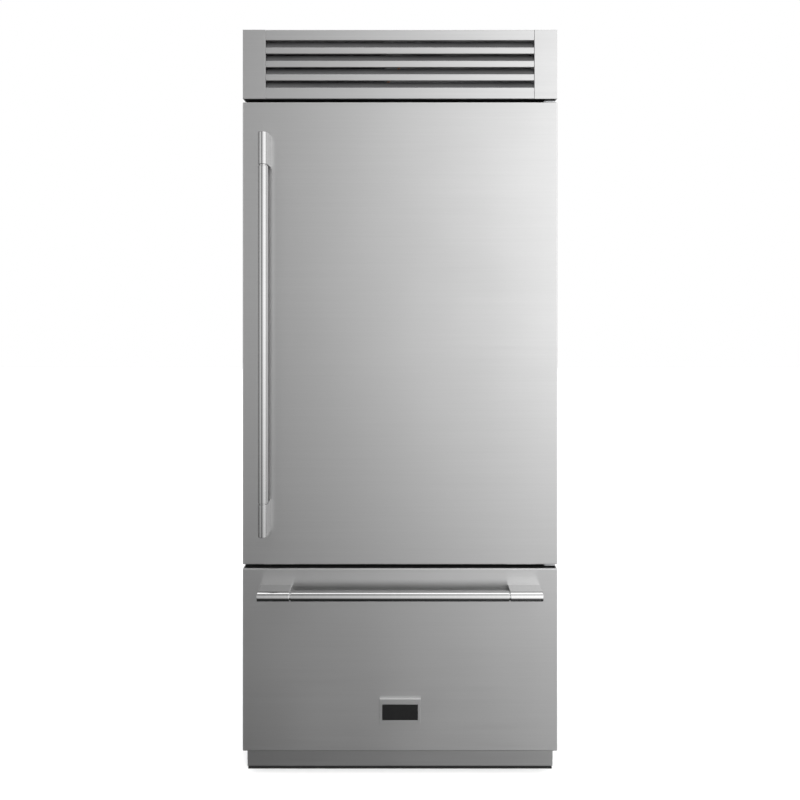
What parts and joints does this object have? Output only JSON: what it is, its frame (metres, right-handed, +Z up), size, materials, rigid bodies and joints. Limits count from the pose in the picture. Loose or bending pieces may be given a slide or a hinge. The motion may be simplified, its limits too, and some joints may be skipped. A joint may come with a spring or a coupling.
{
  "type": "bottom freezer refrigerator",
  "caption": "Built-in stainless steel refrigerator with a hinged upper door, a pull-out bottom freezer drawer and a louvred top grille.",
  "frame": {"origin": "centre of the overall footprint on the floor", "axes": "+X to the right seen from the front, +Y to the back, +Z up; the door and drawer face -Y"},
  "size_m": [0.9, 0.68, 2.155],
  "materials": {
    "steel_panel": "satin",
    "steel_bar": "satin",
    "steel_bracket": "satin",
    "badge_steel": "satin",
    "black_metal": "satin",
    "grey_sheet": "satin",
    "zinc_sheet": "satin",
    "white_liner": "satin",
    "clear_bin": "gloss",
    "shelf_glass": "polished",
    "seal_rubber": "matte",
    "black_plastic": "matte",
    "foam": "matte",
    "copper_pipe": "satin",
    "coil_aluminium": "satin"
  },
  "bodies": {
    "cabinet": {"side_panel_left": "grey_sheet", "side_panel_right": "grey_sheet", "back_panel": "zinc_sheet", "machine_deck": "zinc_sheet", "top_cover": "grey_sheet", "insulation_foam": "foam", "fridge_liner": "white_liner", "freezer_liner": "white_liner", "front_frame": "black_metal", "base_frame": "black_metal", "toe_kick": "steel_panel", "grille_frame": "steel_panel", "grille_louver_1": "steel_panel", "grille_louver_2": "steel_panel", "grille_louver_3": "steel_panel", "condenser": "coil_aluminium", "compressor": "black_metal", "refrigerant_pipe": "copper_pipe", "control_box": "grey_sheet", "glass_shelf_1": "shelf_glass", "glass_shelf_2": "shelf_glass", "glass_shelf_3": "shelf_glass", "crisper_shelf": "shelf_glass", "crisper_left": "clear_bin", "crisper_right": "clear_bin", "ceiling_console": "white_liner", "evaporator_cover": "white_liner", "evaporator": "coil_aluminium", "slide_rail_left": "zinc_sheet", "slide_rail_right": "zinc_sheet", "hinge_top": "zinc_sheet", "hinge_bottom": "zinc_sheet"},
    "fridge_door": {"door_shell": "steel_panel", "door_liner": "white_liner", "door_gasket": "seal_rubber", "door_handle_bar": "steel_bar", "door_handle_bracket_top": "steel_bracket", "door_handle_bracket_bottom": "steel_bracket", "door_bin_1": "clear_bin", "door_bin_2": "clear_bin", "door_bin_3": "clear_bin"},
    "freezer_drawer": {"drawer_shell": "steel_panel", "drawer_liner": "white_liner", "drawer_gasket": "seal_rubber", "drawer_handle_bar": "steel_bar", "drawer_handle_bracket_left": "steel_bracket", "drawer_handle_bracket_right": "steel_bracket", "drawer_frame": "zinc_sheet", "badge_plate": "badge_steel", "freezer_basket": "clear_bin"},
    "dairy_lid": {"dairy_lid": "clear_bin"},
    "freezer_tray": {"freezer_tray": "clear_bin"},
    "slide_middle_left": {"slide_middle_left": "zinc_sheet"},
    "slide_middle_right": {"slide_middle_right": "zinc_sheet"},
    "condenser_fan": {"condenser_fan": "black_plastic"},
    "evaporator_fan": {"evaporator_fan": "black_plastic"},
    "leveling_leg_left": {"leveling_leg_left": "zinc_sheet"},
    "leveling_leg_right": {"leveling_leg_right": "zinc_sheet"},
    "roller_left": {"roller_left": "black_plastic"},
    "roller_right": {"roller_right": "black_plastic"}
  },
  "joints": [
    {"name": "fridge_door_hinge", "type": "hinge", "parent": "cabinet", "child": "fridge_door", "pos_m": [0.436, -0.27, 1.286], "axis": [0, 0, 1], "range_deg": [0, 110]},
    {"name": "freezer_drawer_slide", "type": "slide", "parent": "cabinet", "child": "freezer_drawer", "axis": [0, -1, 0], "range_m": [0, 0.42]},
    {"name": "rail_left_slide", "type": "slide", "parent": "cabinet", "child": "slide_middle_left", "axis": [0, -1, 0], "range_m": [0, 0.21]},
    {"name": "rail_right_slide", "type": "slide", "parent": "cabinet", "child": "slide_middle_right", "axis": [0, -1, 0], "range_m": [0, 0.21]},
    {"name": "freezer_tray_slide", "type": "slide", "parent": "freezer_drawer", "child": "freezer_tray", "axis": [0, 1, 0], "range_m": [0, 0.2]},
    {"name": "dairy_lid_hinge", "type": "hinge", "parent": "fridge_door", "child": "dairy_lid", "pos_m": [0, -0.238, 1.765], "axis": [1, 0, 0], "range_deg": [0, 90]},
    {"name": "condenser_fan_spin", "type": "hinge", "parent": "cabinet", "child": "condenser_fan", "pos_m": [-0.235, -0.121, 2.055], "axis": [0, 1, 0], "continuous": true},
    {"name": "evaporator_fan_spin", "type": "hinge", "parent": "cabinet", "child": "evaporator_fan", "pos_m": [0, 0.231, 0.4775], "axis": [0, 1, 0], "continuous": true},
    {"name": "leg_left_screw", "type": "slide", "parent": "cabinet", "child": "leveling_leg_left", "axis": [0, 0, 1], "range_m": [0, 0.02]},
    {"name": "leg_right_screw", "type": "slide", "parent": "cabinet", "child": "leveling_leg_right", "axis": [0, 0, 1], "range_m": [0, 0.02]},
    {"name": "roller_left_spin", "type": "hinge", "parent": "cabinet", "child": "roller_left", "pos_m": [-0.4, 0.27, 0.025], "axis": [1, 0, 0], "continuous": true},
    {"name": "roller_right_spin", "type": "hinge", "parent": "cabinet", "child": "roller_right", "pos_m": [0.4, 0.27, 0.025], "axis": [1, 0, 0], "continuous": true}
  ],
  "couplings": [
    {"joint": "rail_left_slide", "follows": "freezer_drawer_slide", "ratio": 0.5},
    {"joint": "rail_right_slide", "follows": "freezer_drawer_slide", "ratio": 0.5}
  ]
}
